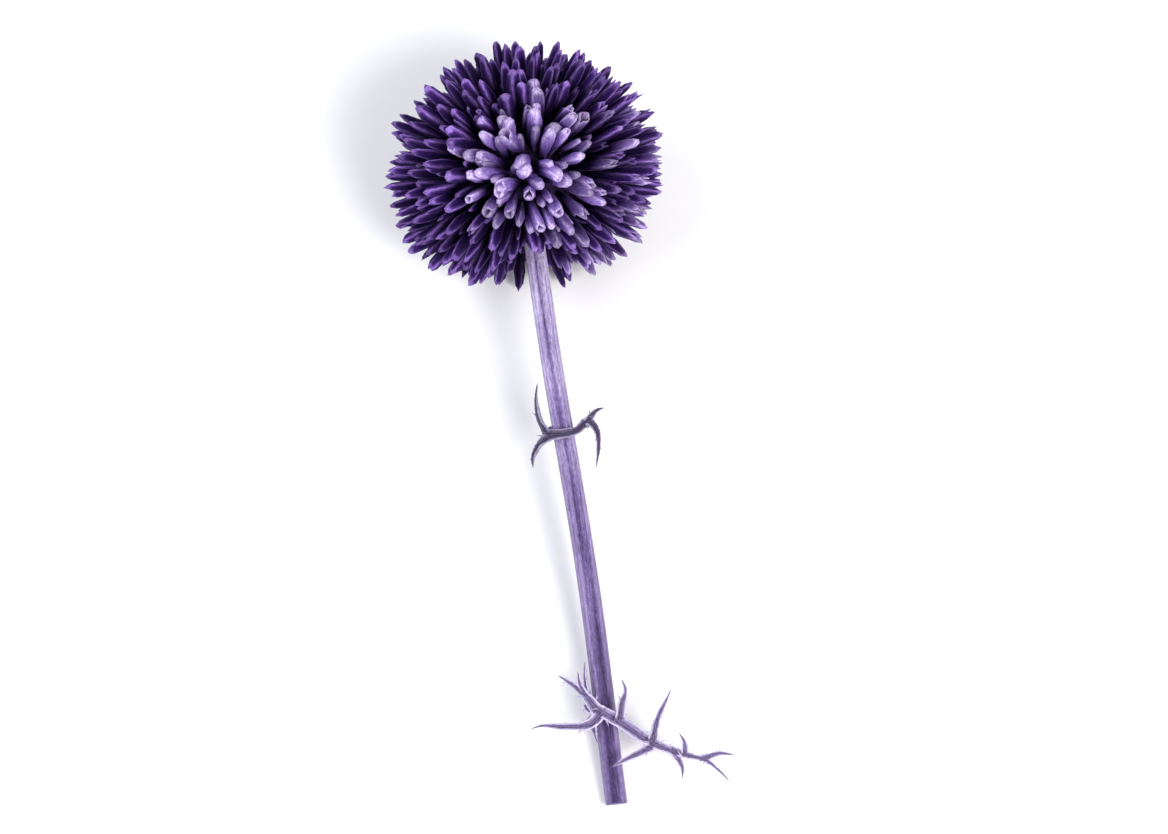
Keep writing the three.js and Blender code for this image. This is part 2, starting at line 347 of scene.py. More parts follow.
bractLook = {
    "dyed": [  # from root to tip, near black at the root: painted shade deep in the head
        (0.0, (0.003, 0.0005, 0.014)), (0.5, (0.0034, 0.0005, 0.017)), (0.69, (0.0076, 0.0014, 0.031)),
        (0.84, (0.0135, 0.0033, 0.05)), (0.94, (0.03, 0.0115, 0.088)), (1.0, (0.27, 0.182, 0.45)),
    ],
    # the pale colours of the cap and of the painted highlight on the flank, also dark at the root as painted
    # shade
    "sunny": [
        (0.0, (0.006, 0.0016, 0.02)), (0.3, (0.045, 0.019, 0.115)), (0.55, (0.135, 0.078, 0.29)),
        (0.76, (0.185, 0.112, 0.37)), (0.92, (0.22, 0.152, 0.385)), (1.0, (0.39, 0.32, 0.53)),
    ],
    # pale margins, partly dry margins and partly a painted rim highlight
    "dyedMarginAndHighlight": (0.24, 0.142, 0.46),
    "sunnyMarginAndHighlight": (0.48, 0.405, 0.63),
    # painted shade inside the open mouths
    "mouth": (0.012, 0.004, 0.035),
    "warmth": (0.8, 0.42, 0.8),
    "sheen": (0.48, 0.28, 1, 1),
    "streaks": (5.0, 4.0, 0.65),  # scale, detail and roughness
    "blotches": (1.7, 3.0, 0.6),
    "ragged": 0.16,  # how far the blotches shift the colours along a bract
    "paleCapAndHighlightGain": 2.6,
    "darkHolds": 1.15,  # past the tips, so that the roots keep the dark colours longest
    "darkHoldsGain": 2.0,
    "marginSharpness": 1.8,
    "marginAlong": (0.48, 0.9, 0.0, 0.95),  # from and to, and how pale there
    "marginStreaks": (0.45, 1.2),  # the least, and how much more with the streaks
    "marginPaling": 1.7,
    "mouthShadeStrength": 0.85,
    "streakValues": (0.32, 0.68, 0.45, 1.5),  # from and to, and how bright there
    "toneValues": (0.6, 0.9),
    "warmFrom": 0.45,
    "warmGain": 2.0,
    "relief": (0.6, 0.00015),  # strength, and height in metres
}


def bractFinish():
    look = bractLook
    finish, tree, shader = newFinish(
        "dyedBractsPaintedShadeAndHighlight", roughness=0.7, sheen=0.15, sheenTint=look["sheen"], sheenRoughness=0.22, gloss=0.08
    )
    along, edge, mouthShade = markOf(tree, "along"), markOf(tree, "edge"), markOf(tree, "mouthShade")
    tone, paleCapAndHighlight = markOf(tree, "tone"), markOf(tree, "paleCapAndHighlight")
    grain = markOf(tree, "grain", "Vector")
    streaks = noiseOf(grain, *look["streaks"])
    blotches = noiseOf(grain, *look["blotches"])
    ragged = strayed(along, blotches, look["ragged"])
    # the tips turn pale first, in the pale cap and in the painted highlight on the flank
    rest = times(minus(look["darkHolds"], along), look["darkHoldsGain"])
    paled = minus(times(paleCapAndHighlight, look["paleCapAndHighlightGain"]), rest, limit=True)
    color = blended(paled, rampOf(ragged, look["dyed"]), rampOf(ragged, look["sunny"]))
    # the margins of the bracts are pale, partly as dry margins and partly as a painted highlight along their
    # rims, and paler towards the tip
    thin = mathOf("POWER", edge, look["marginSharpness"])
    margin = times(thin, mapped(along, *look["marginAlong"]))
    margin = times(margin, ranged(streaks, *look["marginStreaks"]), limit=True)
    sunny = times(paled, look["marginPaling"], limit=True)
    color = blended(margin, color, blended(sunny, look["dyedMarginAndHighlight"], look["sunnyMarginAndHighlight"]))
    # painted shade deep in the open mouths
    color = blended(times(mouthShade, look["mouthShadeStrength"]), color, look["mouth"])
    value = times(mapped(streaks, *look["streakValues"]), ranged(tone, *look["toneValues"]))
    color = lifted(color, value)
    warm = minus(blotches, look["warmFrom"], limit=True)
    warm = times(warm, look["warmGain"], limit=True)
    color = blended(warm, color, look["warmth"], "MULTIPLY")
    finished(shader, color, streaks, *look["relief"])
    return finish


headRule = {
    "places": 440,
    "jitter": 0.17,
    "seed": 11,
    "widestRadius": 24.3,  # mm, as all lengths here
    "crownRadius": 22.3,
    "coreRadius": 11,
    "rootInside": 0.8,  # how deep the roots lie in the core
    "bareWithin": 14,  # degrees round the stem
    "collarShare": 0.6,  # how far the lowest reach
    "collarWithin": (12, 33),  # degrees over which they grow to full reach
    "lowShare": 0.9,  # a second step like it, over more of the globe
    "lowWithin": (24, 44),
    "lengthSpread": 0.055,
    "bellyRadius": 1.15,
    "bellyAlong": 0.55,
    "ripeBellyRadius": 1.5,
    "radiusSpread": 0.15,
    "ripening": (0.72, 0.95),
    "ripeShorter": 0.03,
    "girthShare": 0.92,  # of the belly radius
    "ripeGirthShare": 0.8,
    "ripeGirthSpread": 0.36,
    "youngApart": 0.088,  # radians from all others
    "youngTries": 1500,
    "youngSeed": 23,
    "youngFrom": 24,  # degrees round the stem
    "youngShare": (0.74, 0.92),  # least and most of a full floret's reach
    "youngRipeLonger": 0.05,
    "youngRadius": (0.55, 0.95),
    "youngRipeWider": 1.35,
    "youngRipe": 0.4,
    "pickSeed": 31,
    "bluntFrom": 0.35,  # this ripe, florets end in a blunt mouth
    "bluntSpread": 0.5,
    "bluntElsewhere": 0.05,
    "openFrom": 0.68,  # most blunt ones are shut
    "gapingFrom": 0.91,
    "fraySeed": 5,
    "frayed": (0.05, 0.5),  # share with bracts apart, elsewhere and on the flank
    "frayedFlank": (0.25, 0.85),
    "paleCap": (0.71, 0.94),  # where it sets in and is full, as cosines
    "paleCapLeast": 0.58,
    "paleCapSpread": 0.57,
    # a painted highlight on scattered tips of the flank that faces the key lamp
    "highlightedFlank": (0.1, 0.9),
    "flankLower": 0.6,
    "flankHighlight": 0.42,
    "lean": 0.07,  # how far the florets lean out of line
    "ripeLean": 0.24,
    "pressedTo": 0.05,  # how high the crushed tips end over the table
    "tree": {
        "Looseness": 1.0,  # all leans together
        "Width": 1.0,
        "Seed": 7,
        "Shrivel": 0.6 * mm,  # how far dried skin wanders in and out
        "Shrivel Scale": 900.0,
    },
}


def spiralPoint(i, count, start=0.0):  # one of many directions, spread evenly round the globe
    up = 1 - 2 * (i + 0.5) / count
    out, turn = math.sqrt(1 - up * up), i * math.pi * (3 - math.sqrt(5)) + start
    return Vector((out * math.cos(turn), up, out * math.sin(turn)))


def zoneOf(direction):  # degrees from the stem, how ripe it is there, and how far the globe reaches
    rule = headRule
    fromStem = math.degrees(math.acos(clamp(-direction.y, -1, 1)))
    ripe = smoothStep(abs(direction.dot(sunnySide)), *rule["ripening"])
    globe = lerp(rule["widestRadius"], rule["crownRadius"], direction.y**2)
    globe *= lerp(rule["lowShare"], 1, smoothStep(fromStem, *rule["lowWithin"]))
    return fromStem, ripe, globe


def floretPlaces():  # the same even spiral, strayed by the same numbers, as in the solids
    rule = headRule
    draw = numberStream(rule["seed"])
    stray = rule["jitter"] * math.sqrt(4 * math.pi / rule["places"])
    directions = []
    for i in range(rule["places"]):
        place = spiralPoint(i, rule["places"])
        east = Vector((place.z, 0, -place.x)).normalized()
        north = place.cross(east)
        place += east * (stray * (2 * draw() - 1))
        place += north * (stray * (2 * draw() - 1))
        directions.append(place.normalized())
    nearby, florets = treeOfPoints(directions), []  # (direction, reach, girth, ripeness)
    for direction in directions:
        lengthDraw, radiusDraw = 2 * draw() - 1, 2 * draw() - 1
        fromStem, ripe, globe = zoneOf(direction)
        if fromStem < rule["bareWithin"]:
            continue
        collar = lerp(rule["collarShare"], 1, smoothStep(fromStem, *rule["collarWithin"]))
        reach = globe * collar * (1 + rule["lengthSpread"] * lengthDraw) * (1 - rule["ripeShorter"] * ripe)
        girth = lerp(rule["bellyRadius"], rule["ripeBellyRadius"], ripe)
        girth *= 1 + rule["radiusSpread"] * radiusDraw
        # no wider at the belly than the way to the nearest neighbour allows
        room = math.asin(nearby.find_n(direction, 2)[1][2] / 2)
        room = lerp(rule["coreRadius"], reach, rule["bellyAlong"]) * math.tan(room)
        florets.append((direction, reach, min(girth, room), ripe))
    return florets + youngFlorets(directions)


def youngFlorets(directions):  # short slim ones, in the gaps between the others
    rule, taken, young = headRule, list(directions), []
    draw = numberStream(rule["youngSeed"])
    for i in range(rule["youngTries"]):
        direction = spiralPoint(i, rule["youngTries"], 1.0)
        fromStem, ripe, globe = zoneOf(direction)
        nearest = min((direction - other).length for other in taken)
        if fromStem < rule["youngFrom"] or nearest < rule["youngApart"]:
            continue
        taken.append(direction)
        reach = globe * (lerp(*rule["youngShare"], draw()) + rule["youngRipeLonger"] * ripe)
        girth = lerp(*rule["youngRadius"], draw()) * lerp(1, rule["youngRipeWider"], ripe)
        young.append((direction, reach, girth, rule["youngRipe"] * ripe))
    print(len(young), "young florets")
    return young


# rings of (share of the length, share of the girth); how far the bracts overlap; how wide the mouth stays
# open, how unevenly and how slanted the bracts end, how deep the mouth is and how far round the lips go
floretKinds = [
    {"rings": [(0, 0.3), (0.42, 0.74), (0.7, 0.97), (0.9, 0.66)],
     "overlap": 0.8, "open": 0.14, "uneven": 0.035, "slant": 0, "deep": 0.02, "lips": 0},
    {"rings": [(0, 0.32), (0.45, 0.8), (0.74, 1.0), (0.92, 0.7)],
     "overlap": 0.6, "open": 0.2, "uneven": 0.02, "slant": 0, "deep": 0.015, "lips": 0},
    {"rings": [(0, 0.34), (0.46, 0.84), (0.76, 1.0), (0.93, 0.78)],
     "overlap": 0.25, "open": 0.34, "uneven": 0.01, "slant": 0.01, "deep": -0.005, "lips": 0.75},
    {"rings": [(0, 0.34), (0.46, 0.84), (0.75, 1.0), (0.92, 0.84)],
     "overlap": 0.35, "open": 0.3, "uneven": 0.008, "slant": 0.06, "deep": 0.1, "lips": 0.85},
    {"rings": [(0, 0.34), (0.42, 0.82), (0.7, 1.0), (0.9, 0.9)],
     "overlap": 0.3, "open": 0.46, "uneven": 0.012, "slant": 0.07, "deep": 0.3, "lips": 0.85},
    {"rings": [(0, 0.3), (0.42, 0.74), (0.7, 0.97), (0.87, 0.84)],
     "overlap": 0.8, "open": 0.52, "uneven": 0.05, "slant": 0, "deep": 0.12, "lips": 0.3},
]
# across one bract: share of its half width, and how far it stands off and how pale it is
bractSection = [
    (-0.97, 0.045, 1.0), (-0.6, 0.04, 0.3), (0, 0.02, 0.0), (0.55, -0.02, 0.2), (0.93, -0.09, 0.8),
]
floretRule = {
    "copies": 3,  # of each kind, each with its own bend
    "pointedKinds": 2,  # the first kinds; the shut, open, gaping and frayed ones follow
    "frayedKind": 5,
    "bracts": 3,
    "bend": 1.3,  # how far apart the tips may lean, in girths
    "flattened": 0.2,
    "turned": 0.14,  # how unevenly the bracts stand round the spindle
    "tipTurned": 0.3,
    "overlapAlong": (0.2, 0.7),
    "firstTip": 0.8,  # the first bract closes over the others
    "lipDrop": 0.012,
    "shadedDepths": (0.01, 0.08),  # how deep a mouth starts to get painted shade, and is fully shaded
    "grain": (1.2, 3),  # of the streaks, across and along
}


def floretShape(name, kind, seed):  # three overlapping bracts round a spindle, root at 0 and tips at 1
    rule, draw = floretRule, numberStream(seed)
    bracts, across, grainAlong = rule["bracts"], rule["grain"][0], rule["grain"][1]
    bend = Vector((draw() - 0.5, draw() - 0.5)) * rule["bend"]
    flat = 1 - rule["flattened"] * draw()
    starts = [2 * math.pi * (b + rule["turned"] * (draw() - 0.5)) / bracts for b in range(bracts)]
    points, marks, keep = markedPoints("along", "edge", "mouthShade", "grain")

    def add(angle, radius, up, edge=0.0, mouthShade=0.0):
        east = math.cos(angle) * radius + bend.x * up * up
        north = math.sin(angle) * radius * flat + bend.y * up * up
        grain = (math.cos(angle) * across + 3 * seed, math.sin(angle) * across, up * grainAlong)
        return keep((east, north, up), up, edge, mouthShade, grain)

    rings = []
    for up, radius in kind["rings"]:
        lift = kind["overlap"] * smoothStep(up, *rule["overlapAlong"])
        ring = []
        for b, start in enumerate(starts):
            after = starts[(b + 1) % bracts] + (2 * math.pi if b == bracts - 1 else 0)
            before = starts[b - 1] - (2 * math.pi if b == 0 else 0)
            for side, off, pale in bractSection:
                half = (after - start) / 2 if side > 0 else (start - before) / 2
                ring.append(add(start + side * half, radius * (1 + off * lift), up, pale))
        rings.append(ring)
    faces = [tuple(reversed(rings[0]))]
    for near, far in zip(rings, rings[1:]):
        for i, a in enumerate(near):
            j = (i + 1) % len(near)
            faces.append((a, near[j], far[j], far[i]))
    top, width = rings[-1], len(bractSection)
    topUp, topRadius = kind["rings"][-1]
    # the heart of a deep mouth is marked for painted shade
    dark = smoothStep(kind["deep"], *rule["shadedDepths"])
    heart = add(0.0, 0.0, 1 - kind["slant"] / 2 - kind["deep"], mouthShade=dark)
    for b, start in enumerate(starts):
        bract = top[width * b : width * (b + 1)]
        short = kind["uneven"] * (0.35 + 0.65 * draw()) * (b > 0)
        short += kind["slant"] * (1 - math.cos(start)) / 2
        spread = lerp(kind["open"], topRadius, short / (1 - topUp)) * (1 if b else rule["firstTip"])
        middle = start + rule["tipTurned"] * (draw() - 0.5)
        if kind["lips"]:
            turns = ((-kind["lips"], rule["lipDrop"]), (0, 0), (kind["lips"], rule["lipDrop"]))
            lips = [add(middle + turn, spread, 1 - short - drop, edge=1.0) for turn, drop in turns]
            faces += [(bract[1], lips[1], lips[0]), (bract[3], lips[2], lips[1])]
            faces += [(lips[0], lips[1], heart), (lips[1], lips[2], heart)]
        else:
            lips = [add(middle, spread, 1 - short, edge=1.0)] * 3
        for left, right, lip in zip(bract, bract[1:], (lips[0], lips[1], lips[1], lips[2])):
            faces.append((left, right, lip))
        faces += [(bract[-1], heart, lips[2]), (heart, bract[0], lips[0])]
        faces.append((bract[-1], top[(width * (b + 1)) % len(top)], heart))
    return meshObject(name, points, faces, marks)


def pickShape(direction, ripe, draw, fray):  # which of the shapes a floret gets
    rule, copies, pointed = headRule, floretRule["copies"], floretRule["pointedKinds"]
    blunt = ripe > rule["bluntFrom"] + rule["bluntSpread"] * (draw() - 0.5) or draw() < rule["bluntElsewhere"]
    mouth = draw()
    mouth = (mouth > rule["openFrom"]) + (mouth > rule["gapingFrom"])
    if blunt:
        return copies * (pointed + mouth) + int(draw() * copies)
    pick = int(draw() * copies * pointed)
    if fray() < lerp(*rule["frayed"], smoothStep(direction.x, *rule["frayedFlank"])):
        pick = copies * floretRule["frayedKind"] + pick % copies
    return pick


def paleCapAndHighlightOf(direction, draw):  # a paler cap on one side, and scattered tips on the flank made pale as a painted highlight
    rule = headRule
    paleCapAndHighlight = smoothStep(direction.dot(paleCapSide), *rule["paleCap"])
    paleCapAndHighlight *= rule["paleCapLeast"] + rule["paleCapSpread"] * draw()
    flank = smoothStep(direction.x - rule["flankLower"] * direction.y, *rule["highlightedFlank"])
    return clamp(paleCapAndHighlight + rule["flankHighlight"] * flank * draw())


def floretRoots():  # a point for each floret, with the values that the tree and the finish read
    rule = headRule
    draw, fray = numberStream(rule["pickSeed"]), numberStream(rule["fraySeed"])
    turn, height = plantToTable.to_3x3(), plantPose["headAt"][2] - rule["pressedTo"]
    rootOut = rule["coreRadius"] - rule["rootInside"]
    picks, (roots, marks, keep) = [], markedPoints("aim", "size", "paleCapAndHighlight", "stray")
    for direction, reach, girth, ripe in floretPlaces():
        aim = (turn @ direction).normalized()
        if height + aim.z * reach < 0:  # pressed against the table
            reach = height / -aim.z
        ripeShare = rule["ripeGirthShare"] + rule["ripeGirthSpread"] * draw()
        girth *= lerp(rule["girthShare"], ripeShare, ripe) * mm
        picks.append(pickShape(direction, ripe, draw, fray))
        size, lean = (girth, girth, (reach - rootOut) * mm), lerp(rule["lean"], rule["ripeLean"], ripe)
        keep(onTable(direction * rootOut), tuple(aim), size, paleCapAndHighlightOf(direction, draw), lean)
    carrier = meshObject("floretRoots", roots, [], marks)
    carrier.data.attributes.new("pick", "INT", "POINT").data.foreach_set("value", picks)
    return carrier


def floretTree(values):  # plants a shape on every root, leaning, spun, toned and shrivelled
    tree, given = treeOf("floretsOnGlobe", values)

    def chance(low, high, salt, kind="FLOAT"):
        first = 0 if kind == "FLOAT_VECTOR" else 2  # the sockets of this kind
        limits = {first: low, first + 1: high, "Seed": plus(given["Seed"], float(salt))}
        return outOf("FunctionNodeRandomValue", limits, first // 2, data_type=kind)

    def vectorMath(how, a, b):
        return outOf("ShaderNodeVectorMath", {0: a, 1: b}, operation=how)

    def stretched(a, share):
        return outOf("ShaderNodeVectorMath", {0: a, "Scale": share}, operation="SCALE")

    boxed = {"Collection": given["Florets"], "Separate Children": True, "Reset Children": True}
    loose = times(given["Looseness"], readMark(tree, "stray"))
    stray = stretched(chance((-1, -1, -1), (1, 1, 1), 1, "FLOAT_VECTOR"), loose)
    aimed = vectorMath("ADD", readMark(tree, "aim", "FLOAT_VECTOR"), stray)
    facing = outOf("FunctionNodeAlignRotationToVector", {"Vector": aimed}, axis="Z")
    spin = outOf("FunctionNodeAxisAngleToRotation", {"Axis": (0, 0, 1), "Angle": chance(0.0, 2 * math.pi, 2)})
    turning = {"Rotation": facing, "Rotate By": spin}
    wide = outOf("ShaderNodeCombineXYZ", {"X": given["Width"], "Y": given["Width"], "Z": 1.0})
    planting = {
        "Points": outOf("GeometryNodeMeshToPoints", {"Mesh": given["Geometry"]}),
        "Instance": outOf("GeometryNodeCollectionInfo", boxed),
        "Pick Instance": True,
        "Instance Index": readMark(tree, "pick", "INT"),
        "Rotation": outOf("FunctionNodeRotateRotation", turning, rotation_space="LOCAL"),
        "Scale": vectorMath("MULTIPLY", readMark(tree, "size", "FLOAT_VECTOR"), wide),
    }
    planted = outOf("GeometryNodeInstanceOnPoints", planting)
    tone = {"Geometry": planted, "Name": "tone", "Value": chance(0.0, 1.0, 3)}
    toned = outOf("GeometryNodeStoreNamedAttribute", tone, data_type="FLOAT", domain="INSTANCE")
    real = outOf("GeometryNodeRealizeInstances", {"Geometry": toned})
    dents = outOf("ShaderNodeTexNoise", {"Scale": given["Shrivel Scale"], "Detail": 1.0}, "Color")
    dents = stretched(vectorMath("SUBTRACT", dents, (0.5, 0.5, 0.5)), given["Shrivel"])
    return closed(outOf("GeometryNodeSetPosition", {"Geometry": real, "Offset": dents}), given["Finish"])


def growHead():
    box = bpy.data.collections.new("floretShapes")
    copies = floretRule["copies"]
    for i in range(copies * len(floretKinds)):
        box.objects.link(floretShape("floret%02d" % (i + 1), floretKinds[i // copies], i + 1))
    values = {"Florets": box, **headRule["tree"], "Finish": bractFinish()}
    head = grown(floretRoots(), floretTree(values), values, "florets")
    for shape in list(box.objects):
        bpy.data.objects.remove(shape)
    bpy.data.collections.remove(box)
    return pressed(head)


dress(growHead(), "floret_violet", "flower_head")


coreRule = {
    "radius": 11.2,  # mm
    "lumps": 0.25,
    "lumpiness": 0.8,
    "speckles": (1500.0, 3.0),
    "colors": [(0.35, (0.004, 0.001, 0.012)), (0.7, (0.02, 0.008, 0.05))],
}


def coreBall():
    core = coreRule
    ball = bmesh.new()
    bmesh.ops.create_icosphere(ball, subdivisions=4, radius=core["radius"])
    for point in ball.verts:
        point.co += point.normal * core["lumps"] * noise.noise(point.co * core["lumpiness"])
        point.co = plantToTable @ point.co * mm
    mesh = bpy.data.meshes.new("receptacle")
    ball.to_mesh(mesh)
    ball.free()
    mesh.shade_smooth()
    finish, tree, shader = newFinish("shadedDown", roughness=0.9)
    places = addNode(tree, "ShaderNodeTexCoord").outputs["Object"]
    color = rampOf(noiseOf(places, *core["speckles"]), core["colors"])
    tree.links.new(color, shader.inputs["Base Color"])
    mesh.materials.append(finish)
    return bpy.data.objects.new("receptacle", mesh)


dress(coreBall(), "floret_violet")

stemRule = {
    "length": 112.0,
    "top": 11.3,
    "bow": 1.0,
    "radius": 1.9,
    "topShare": 0.965,  # of the radius, and all of it at the cut end
    "ribs": 10,
    "ribDepth": 0.12,
    "ribTwist": 0.25,
    "ribRoundness": 0.55,
    "wander": (0.35, 0.03),  # radians that the ribs stray, and how often along the stem
    "channelDepth": 0.16,  # the broad groove on the sunny side
    "channelWidth": 0.5,
    "channelSway": (0.15, 7),
    "channelShade": (0.2, 0.64),  # at the top, and how much more at the cut end
    "fineDepth": 0.045,  # the lesser ribs between the main ones
    "fineShare": 1.5,
    "fineWander": 1.4,
    "fineRoundness": 0.6,
    "lumps": (0.7, 0.12),  # how often round and along the stem
    "lumpDepth": 0.03,
    "cut": [(0.0, 0.86, 0.5), (0.16, 0.72, 0.75), (0.2, 0.4, 1.0)],  # depth, share of the radius, paleness
    "torn": (0.05, 3),
    "around": 96,
    "steps": 260,
}
stemLook = {
    "ribs": [  # from groove to crest: painted shade in the grooves and the broad channel, paler crests
        (0.0, (0.075, 0.045, 0.15)), (0.4, (0.21, 0.155, 0.34)), (0.75, (0.4, 0.33, 0.55)),
        (1.0, (0.56, 0.49, 0.7)),
    ],
    "shade": [  # from the head to the cut end
        (0.0, (1, 1, 1)), (0.22, (0.9, 0.88, 0.93)), (0.45, (0.6, 0.54, 0.68)),
        (1.0, (0.42, 0.36, 0.5)),
    ],
    "nick": (0.05, 0.028, 0.1),
    "sheen": (0.85, 0.78, 1, 1),
    "fibres": (3.4, 6.0, 0.7),  # scale, detail and roughness
    "clouds": (0.5, 3.0),
    "mottle": (2.6, 6.0, 0.75),
    "mottling": 1.5,
    "fibreValues": (0.3, 0.7, 0.6, 1.4),  # from and to, and how bright there
    "cloudValues": (0.6, 0.8),
    "nickScale": 2.1,
    "nickSize": (0.3, 0.12),
    "nickStretches": (0.62, 0.4, 0.0, 0.6),
    "mottleRelief": 0.7,
    "relief": (0.7, 0.0003),
}


def stemFinish():
    look = stemLook
    finish, tree, shader = newFinish("downyStem", roughness=0.62, sheen=0.3, sheenTint=look["sheen"])
    rib, along = markOf(tree, "rib"), markOf(tree, "along")
    grain, skin = markOf(tree, "grain", "Vector"), markOf(tree, "skin", "Vector")
    fibres = noiseOf(grain, *look["fibres"])
    clouds = noiseOf(grain, *look["clouds"])
    mottle = noiseOf(skin, *look["mottle"])
    color = rampOf(strayed(rib, mottle, look["mottling"]), look["ribs"])
    color = blended(1.0, color, rampOf(along, look["shade"]), "MULTIPLY")
    color = lifted(color, mapped(fibres, *look["fibreValues"]))
    color = lifted(color, ranged(clouds, *look["cloudValues"]))
    # long dark nicks, thick in some stretches and missing in others
    cells = addNode(tree, "ShaderNodeTexVoronoi", {"Vector": skin, "Scale": look["nickScale"]})
    nicks = mapped(cells.outputs["Distance"], *look["nickSize"])
    nicks = times(nicks, mapped(clouds, *look["nickStretches"]))
    color = blended(nicks, color, look["nick"])
    relief = minus(plus(fibres, times(mottle, look["mottleRelief"])), nicks)
    finished(shader, color, relief, *look["relief"])
    return finish


def stemSkin(middle, share, angle):  # how far out the ribbed skin lies there, and how pale it is, with painted shade in the grooves and the broad channel
    rule = stemRule
    east, north = math.cos(angle), math.sin(angle)
    wander = rule["wander"][0] * noise.noise(Vector((east, north, middle.y * rule["wander"][1])))
    crest = abs(math.cos(rule["ribs"] / 2 * (angle + wander + rule["ribTwist"] * share)))
    crest = crest ** rule["ribRoundness"]
    fine = abs(math.cos(rule["ribs"] * rule["fineShare"] * (angle + rule["fineWander"] * wander)))
    fine = fine ** rule["fineRoundness"]
    sway = rule["channelSway"][0] * math.sin(share * rule["channelSway"][1])
    fromSun = (angle - math.pi / 2 + math.pi) % (2 * math.pi) - math.pi + sway
    channel = math.exp(-((fromSun / rule["channelWidth"]) ** 2))
    apart, along = rule["lumps"]
    lump = noise.noise(Vector((east * apart, middle.y * along, north * apart)))
    radius = rule["radius"] * lerp(rule["topShare"], 1, share) + rule["lumpDepth"] * lump
    radius -= rule["ribDepth"] * (1 - crest) + rule["fineDepth"] * (1 - fine) + rule["channelDepth"] * channel
    # painted shade in the grooves and the channel, paler on crests and bulges
    shaded = (rule["channelShade"][0] + rule["channelShade"][1] * share) * channel
    return radius, clamp(0.45 * crest + 0.25 * fine + 0.3 - shaded + 0.25 * lump)


def growStem():
    rule, around = stemRule, stemRule["around"]
    bow, length = rule["bow"], rule["length"]
    bends = [(0, -rule["top"], 0), (0.1 * bow, -0.3 * length, 0.3 * bow)]
    bends += [(bow, -0.66 * length, 0.2 * bow), (0.4 * bow, -length, 0)]
    line = curveThrough(bends, rule["steps"])
    faces, (points, marks, add) = [], markedPoints("rib", "along", "grain", "skin")
    for i, middle in enumerate(line):
        forward = (line[min(i + 1, len(line) - 1)] - line[max(i - 1, 0)]).normalized()
        side = forward.cross(Vector((0, 0, 1))).normalized()
        face = side.cross(forward)
        share = i / rule["steps"]
        for k in range(around):
            angle = 2 * math.pi * k / around
            east, north = math.cos(angle), math.sin(angle)
            radius, paleness = stemSkin(middle, share, angle)
            grain = (east * 2.4, north * 2.4, middle.y * 0.12)
            skin = (east * 1.9, north * 1.9, middle.y * 0.4)
            spot = middle + side * (east * radius) + face * (north * radius)
            add(onTable(spot), paleness, share, grain, skin)
    for i in range(rule["steps"]):
        for k in range(around):
            a, b = i * around + k, i * around + (k + 1) % around
            faces.append((a, a + around, b + around, b))
    # the cut end: a woody rim and a slightly sunken, torn pith
    ring = list(range(len(points) - around, len(points)))
    rim = [points[k] / mm for k in ring]
    middle = plantToTable @ line[-1]
    inwards = plantToTable.to_3x3() @ -(line[-1] - line[-2]).normalized()
    tearing, tears = rule["torn"]
    for depth, size, paleness in rule["cut"]:
        for outer in rim:
            flat = (outer - middle) * size
            sunk = inwards * (depth - tearing * noise.noise(outer * tears))
            add((middle + flat + sunk) * mm, paleness, 1 - 0.8 * paleness, tuple(flat * 2), tuple(flat * 3))
        inner = list(range(len(points) - around, len(points)))
        for k in range(around):
            faces.append((ring[k], inner[k], inner[(k + 1) % around], ring[(k + 1) % around]))
        ring = inner
    heart = add(sum((points[k] for k in ring), Vector()) / around, 0.8, 0.2, (0, 0, 0), (0, 0, 0))
    faces += [(ring[k], heart, ring[(k + 1) % around]) for k in range(around)]
    faces.append(tuple(range(around)))
    stem = meshObject("stem_ribbed", points, faces, marks)
    stem.data.materials.append(stemFinish())
    return pressed(stem)


dress(growStem(), "stem_lavender", "stem")

